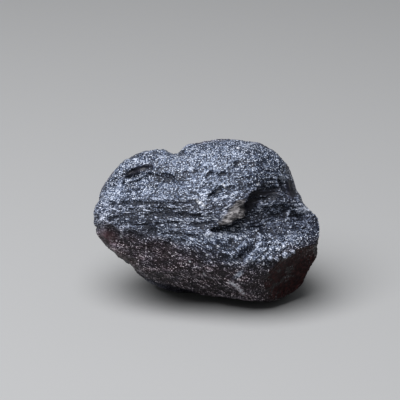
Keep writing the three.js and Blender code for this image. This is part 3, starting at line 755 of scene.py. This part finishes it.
def etched_glass(settings):
    # Tektite glass, etched: black glass whose pits and grains scatter the light to a dark grey.
    material = bpy.data.materials.new("etched_black_tektite_glass")
    material.use_nodes = True
    material.node_tree.nodes.clear()
    add = functools.partial(add_node, material.node_tree)
    place = add("ShaderNodeTexCoord").outputs["Object"]
    flow = add(ATTRIBUTE, attribute_name="flow").outputs["Vector"]
    brown_and_reflection, broken, flake, fleck_and_glint, frost_and_light, grooved, smooth, wear_light_and_shade = (
        add(ATTRIBUTE, attribute_name=name).outputs["Fac"]
        for name in ("brown_and_reflection", "broken", "flake", "fleck_and_glint", "frost_and_light", "grooved", "smooth", "wear_light_and_shade")
    )

    # fine grains of uneven outline: pale tops, partly frosting and partly painted glints, and dark
    # gaps painted as shade
    bend = add(NOISE, {"Vector": place, "Scale": 1 / GRAIN_BEND, "Detail": 1.0}).outputs["Color"]
    drawn_out = add(MAPPING, {"Vector": place, "Scale": (0.85, 1.0, 1.0)})
    bent = add(VECTOR, (bend, (0.18 * MM,) * 3, drawn_out), **TIMES_PLUS)
    cells = add(CELLS, {"Vector": bent, "Scale": 1 / GRAIN}).outputs
    share = add(SEPARATE, (cells["Color"],)).outputs
    top = add(RANGE, (cells["Distance"], 0.60, 0.22), **EASED)
    grain = add(MATH, (top, add(RANGE, (share["Red"], 0.05, 1.0), **EASED)), **TIMES)
    grit = add(NOISE, {"Vector": place, "Scale": 1 / GRIT, "Detail": 2.0})

    # flow grooves finer than the mesh, and streaks along them
    groove = add(NOISE, {
        "Vector": add(MAPPING, {"Vector": flow, "Scale": (0.3, 1.0, 1.0)}),
        "Scale": GROOVES, "Detail": 2.5,
    })
    groove = add(MATH, (add(RANGE, (groove, 0.56, 0.38), **EASED), grooved), **TIMES)
    streak = add(NOISE, {
        "Vector": add(MAPPING, {"Vector": flow, "Scale": (0.12, 1.0, 1.0)}),
        "Scale": STREAKS, "Detail": 1.5,
    })
    streak = add(RANGE, (streak, 0.32, 0.68, -0.22, 0.24), **EASED)
    streak = add(MATH, (streak, grooved), **TIMES)

    # on the belt and the belly the grains are drawn out along the flow
    drawn_out = add(MAPPING, {"Vector": flow, "Scale": (0.52, 1.0, 1.0)})
    bent = add(VECTOR, (bend, (0.24, 0.12, 0.16), drawn_out), **TIMES_PLUS)
    cells = add(CELLS, {"Vector": bent, "Scale": DRAWN_GRAINS}).outputs
    drawn = add(SEPARATE, (cells["Color"],)).outputs["Red"]
    drawn = add(MATH, (
        add(RANGE, (cells["Distance"], 0.60, 0.22), **EASED),
        add(RANGE, (drawn, 0.05, 1.0), **EASED),
    ), **TIMES)
    tone_and_painted_light = add(MIX, (add(RANGE, (grooved, 0.1, 1.2, 0.0, 0.8), **EASED), grain, drawn))

    gritty = add(RANGE, (grit, 0.3, 0.7, -0.38, 0.23), **EASED)
    tone_and_painted_light = add(MATH, (tone_and_painted_light, 1.25, gritty), **TIMES_PLUS)
    # the grooves are painted darker as shade
    tone_and_painted_light = add(MATH, (groove, -0.28, tone_and_painted_light), **TIMES_PLUS)
    tone_and_painted_light = add(MATH, (tone_and_painted_light, streak), **PLUS)
    # a few grains get painted glints, in the dark places too
    painted_glint = add(RANGE, (share["Green"], 0.72, 1.0, 0.0, 0.80), **EASED)
    tone_and_painted_light = add(MATH, (top, painted_glint, tone_and_painted_light), **TIMES_PLUS)
    keep = add(RANGE, (smooth, 0.0, 1.0, 1.0, 0.2), **EASED)
    # wear, painted light and painted shade move the colour up and down
    wear_light_and_shade_tone = add(RANGE, (wear_light_and_shade, 0.0, 1.0, -0.44, 0.61), **EASED)
    tone_and_painted_light = add(MATH, (tone_and_painted_light, keep, wear_light_and_shade_tone), **TIMES_PLUS)

    # the frosted skin painted as lit, its blue partly a painted cool reflection
    frosted_and_lit = add(RAMP, (tone_and_painted_light,), stops=(
        (0.0, "#10151f"), (0.3, "#3d4658"), (0.7, "#7e8797"), (1.0, settings.frosted_and_lit_colour),
    ))
    # the belly's barer glass painted in shade, its pinkish brown partly a painted warm reflection
    bare_and_shaded = add(RAMP, (tone_and_painted_light,), stops=(
        (0.0, "#12080b"), (0.3, "#322329"), (0.7, "#7c6d73"), (1.0, settings.bare_and_shaded_colour),
    ))
    # the glass's brown, partly a painted warm reflection
    browned_and_reflected = add(RAMP, (add(RANGE, (tone_and_painted_light, 0.0, 1.0, 0.15, 0.7), **EASED),), stops=(
        (0.0, "#170e0f"), (0.4, "#463034"), (0.8, "#857577"),
    ))
    flaked = add(MATH, (
        add(RANGE, (grit, 0.25, 0.75, 0.45, 0.59), **EASED),
        add(RANGE, (wear_light_and_shade, 0.0, 1.0, -0.10, 0.16), **EASED),
    ), **PLUS)
    flaked = add(RAMP, (add(MATH, (groove, -0.25, flaked), **TIMES_PLUS),), stops=(
        (0.25, "#2b2a2b"), (0.5, "#5b5859"), (0.7, "#8b8888"),
    ))
    whole = add(RANGE, (top, 0.1, 0.6, 0.35, 1.0), **EASED)
    fleck_and_glint = add(MATH, (fleck_and_glint, whole), **TIMES)
    # the grit frays the break's edge
    frayed = add(MATH, (broken, add(RANGE, (grit, 0.3, 0.7, 0.25, -0.25), **EASED)), **PLUS)
    colour = add(MIX, (frost_and_light, bare_and_shaded, frosted_and_lit), **COLOURS)
    colour = add(MIX, (brown_and_reflection, colour, browned_and_reflected), **COLOURS)
    colour = add(MIX, (flake, colour, flaked), **COLOURS)
    colour = add(MIX, (fleck_and_glint, colour, settings.fleck_and_glint_colour), **COLOURS)
    colour = add(MIX, (
        add(RANGE, (frayed, 0.1, 0.9), **EASED), colour, linear("#0e0607"),
    ), **COLOURS)

    uneven = add(RANGE, (share["Blue"], 0.0, 1.0, 0.4, 1.0), **EASED)
    relief = add(MATH, (grit, 0.8, add(MATH, (top, uneven), **TIMES)), **TIMES_PLUS)
    relief = add(MATH, (groove, -0.9, relief), **TIMES_PLUS)
    unbroken = add(RANGE, (broken, 0.0, 1.0, 1.0, 0.2), **EASED)
    relief = add(MATH, (add(MATH, (relief, unbroken), **TIMES), keep), **TIMES)
    shader = add("ShaderNodeBsdfPrincipled", {
        "Base Color": colour, "Roughness": 0.42, "IOR": 1.5, "Specular IOR Level": 0.22,
        "Normal": add("ShaderNodeBump", {
            "Height": relief, "Strength": 1.0, "Distance": 0.08 * MM,
        }),
    })
    add("ShaderNodeOutputMaterial", {"Surface": shader})
    return material


def broken_glass():
    # Tektite glass, freshly broken: smooth and black, and so it mirrors only what is bright.
    material = bpy.data.materials.new("broken_black_tektite_glass")
    material.use_nodes = True
    material.node_tree.nodes.clear()
    add = functools.partial(add_node, material.node_tree)
    place = add("ShaderNodeTexCoord").outputs["Object"]
    heart = add(ATTRIBUTE, attribute_name="heart").outputs["Fac"]

    # pale specks, but for the heart of the break
    bend = add(NOISE, {"Vector": place, "Scale": 1 / SPECK_BEND, "Detail": 2.0}).outputs["Color"]
    bent = add(VECTOR, (bend, (0.6 * MM,) * 3, place), **TIMES_PLUS)
    cells = add(CELLS, {"Vector": bent, "Scale": 1 / SPECK}).outputs
    share = add(SEPARATE, (cells["Color"],)).outputs["Red"]
    speck = add(MATH, (
        add(RANGE, (cells["Distance"], 0.6, 0.15), **EASED),
        add(RANGE, (share, 0.45, 1.0), **EASED),
    ), **TIMES)
    speck = add(MATH, (speck, add(RANGE, (heart, 0.15, 0.7, 1.0, 0.08), **EASED)), **TIMES)

    cloud = add(NOISE, {"Vector": place, "Scale": 1 / CLOUD, "Detail": 3.0})
    black = add(RAMP, (cloud,), stops=((0.35, "#0c0203"), (0.5, "#1c090a"), (0.7, "#361918")))
    shader = add("ShaderNodeBsdfPrincipled", {
        "Base Color": add(MIX, (speck, black, linear("#7e7678")), **COLOURS),
        "Roughness": 0.34, "IOR": 1.5, "Specular IOR Level": 0.045,
        "Normal": add("ShaderNodeBump", {
            "Height": cloud, "Strength": 1.0, "Distance": 0.03 * MM,
        }),
    })
    add("ShaderNodeOutputMaterial", {"Surface": shader})
    return material


class OBJECT_OT_tektite_lump(bpy.types.Operator):
    """Models the lump with its flow lines, gouge, break and grainy skin"""

    bl_idname = "object.tektite_lump"
    bl_label = "Tektite lump"

    def execute(self, context):
        settings = context.scene.tektite_lump
        lump = bpy.data.objects.new("tektite_lump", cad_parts["tektite"].data.copy())
        context.scene.collection.objects.link(lump)
        make_active(lump)
        bpy.ops.object.mode_set(mode="EDIT")
        bpy.ops.mesh.select_all(action="SELECT")
        bpy.ops.mesh.remove_doubles(threshold=1e-6)
        bpy.ops.object.mode_set(mode="OBJECT")
        apply_modifier(lump, "REMESH", mode="VOXEL", voxel_size=settings.mesh_step)
        # the CAD facets are smoothed away, less so at the lip
        skin = Skin(lump.data)
        soft = smoothstep(0.3, 1.3, skin.from_line(LIP)) * skin.front + (1 - skin.front)
        group = lump.vertex_groups.new(name="soft")
        for step in range(1, SOFT_STEPS + 1):
            chosen = np.flatnonzero(np.ceil(soft * SOFT_STEPS) == step)
            group.add(chosen.tolist(), step / SOFT_STEPS, "REPLACE")
        apply_modifier(lump, "SMOOTH", factor=0.5, iterations=SMOOTHED)
        apply_modifier(lump, "SMOOTH", factor=0.5, iterations=SMOOTHED_SOFT, vertex_group="soft")
        tear_lip(lump.data)
        raise_flow(lump.data)
        raise_grain(lump.data, settings)
        # each square makes two triangles
        thinned = TRIANGLES / (2 * len(lump.data.polygons))
        apply_modifier(lump, "DECIMATE", ratio=min(1.0, thinned))
        mark(lump.data)
        bpy.ops.object.shade_smooth()
        lump.data.materials.clear()
        lump.data.materials.append(etched_glass(settings))
        lump.data.materials.append(broken_glass())
        broken = read_attribute(lump.data, "broken")
        for polygon in lump.data.polygons:
            polygon.material_index = int(broken[polygon.vertices[0]] > FRESH_ABOVE)
        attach(lump, "root")
        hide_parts("tektite")
        return {"FINISHED"}


# ---- The stage ---------------------------------------------------------------------------------

# The floor's width in metres, where the light hangs and what it's turned to, and how bright the
# room round it is.
FLOOR_SIZE = 6
LIGHT_AT, LIGHT_AIM = Vector((-0.13, -0.15, 0.47)), Vector((0, 0, 0.015))
WORLD_STRENGTH = 0.28

# The picture's width and the camera's sensor, how large the lump is drawn, and where the middle of
# its outline falls.
FRAME_PX, SENSOR_MM, PX_PER_MM, CENTRE_PX = 400, 36, 5.35, (207.0, 220.4)


class SCENE_OT_tektite_stage(bpy.types.Operator):
    """Sets the grey floor, the soft light and the camera"""

    bl_idname = "scene.tektite_stage"
    bl_label = "Stage"

    def execute(self, context):
        settings = context.scene.tektite_stage
        context.scene.view_settings.view_transform = "Standard"
        bpy.ops.mesh.primitive_plane_add(size=FLOOR_SIZE)
        floor = context.object
        floor.name = "floor"
        # Matt grey paper: it takes the lump's shadow and mirrors nothing.
        paper = bpy.data.materials.new("matt_grey_paper")
        paper.use_nodes = True
        shader = paper.node_tree.nodes["Principled BSDF"]
        shader.inputs["Base Color"].default_value = settings.floor_colour
        shader.inputs["Roughness"].default_value = 0.9
        floor.data.materials.append(paper)

        world = bpy.data.worlds.new("studio")
        world.use_nodes = True
        background = world.node_tree.nodes["Background"]
        background.inputs["Color"].default_value = linear("#eceff3")
        background.inputs["Strength"].default_value = WORLD_STRENGTH
        context.scene.world = world

        light = bpy.data.lights.new("overhead", "AREA")
        light.shape = "DISK"
        light.size = settings.light_size
        light.energy = settings.light
        light.color = linear("#fafbff")[:3]
        lamp = bpy.data.objects.new("overhead", light)
        context.scene.collection.objects.link(lamp)
        lamp.location = LIGHT_AT
        lamp.rotation_euler = (LIGHT_AIM - LIGHT_AT).to_track_quat("-Z", "Y").to_euler()

        # The camera looks level with the lump's lean, straight on to its broad face.
        back = Vector((0, -math.cos(LEAN), math.sin(LEAN)))
        right, up = Vector((1, 0, 0)), Vector((0, math.sin(LEAN), math.cos(LEAN)))
        co = read(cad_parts["tektite"].data, "co")
        across, along, out = co @ np.array(right), co @ np.array(up), co @ np.array(back)
        px = MM / PX_PER_MM
        target = (
            right * ((across.min() + across.max()) / 2 - (CENTRE_PX[0] - FRAME_PX / 2) * px)
            + up * ((along.min() + along.max()) / 2 - (FRAME_PX / 2 - CENTRE_PX[1]) * px)
            + back * float(out.mean())
        )
        camera = bpy.data.cameras.new("camera")
        camera.sensor_width = SENSOR_MM
        camera.lens = SENSOR_MM / (FRAME_PX * px) * settings.distance
        camera.clip_start = 0.01
        stand = bpy.data.objects.new("camera", camera)
        context.scene.collection.objects.link(stand)
        stand.location = target + back * settings.distance
        stand.rotation_euler = (-back).to_track_quat("-Z", "Y").to_euler()
        context.scene.camera = stand
        return {"FINISHED"}


class VIEW3D_PT_tektite(bpy.types.Panel):
    bl_label = "Tektite"
    bl_idname = "VIEW3D_PT_tektite"
    bl_space_type = "VIEW_3D"
    bl_region_type = "UI"
    bl_category = "Tektite"

    def draw(self, context):
        for operator, settings in (
            ("object.tektite_lump", context.scene.tektite_lump),
            ("scene.tektite_stage", context.scene.tektite_stage),
        ):
            box = self.layout.box()
            for name in type(settings).__annotations__:
                box.prop(settings, name)
            box.operator(operator)


CLASSES = (
    LumpSettings, StageSettings, OBJECT_OT_tektite_lump, SCENE_OT_tektite_stage, VIEW3D_PT_tektite,
)


def register():
    for cls in CLASSES:
        bpy.utils.register_class(cls)
    bpy.types.Scene.tektite_lump = bpy.props.PointerProperty(type=LumpSettings)
    bpy.types.Scene.tektite_stage = bpy.props.PointerProperty(type=StageSettings)


def unregister():
    del bpy.types.Scene.tektite_stage
    del bpy.types.Scene.tektite_lump
    for cls in reversed(CLASSES):
        bpy.utils.unregister_class(cls)


def main():
    register()
    bpy.ops.object.tektite_lump()
    bpy.ops.scene.tektite_stage()


if __name__ == "__main__":
    main()
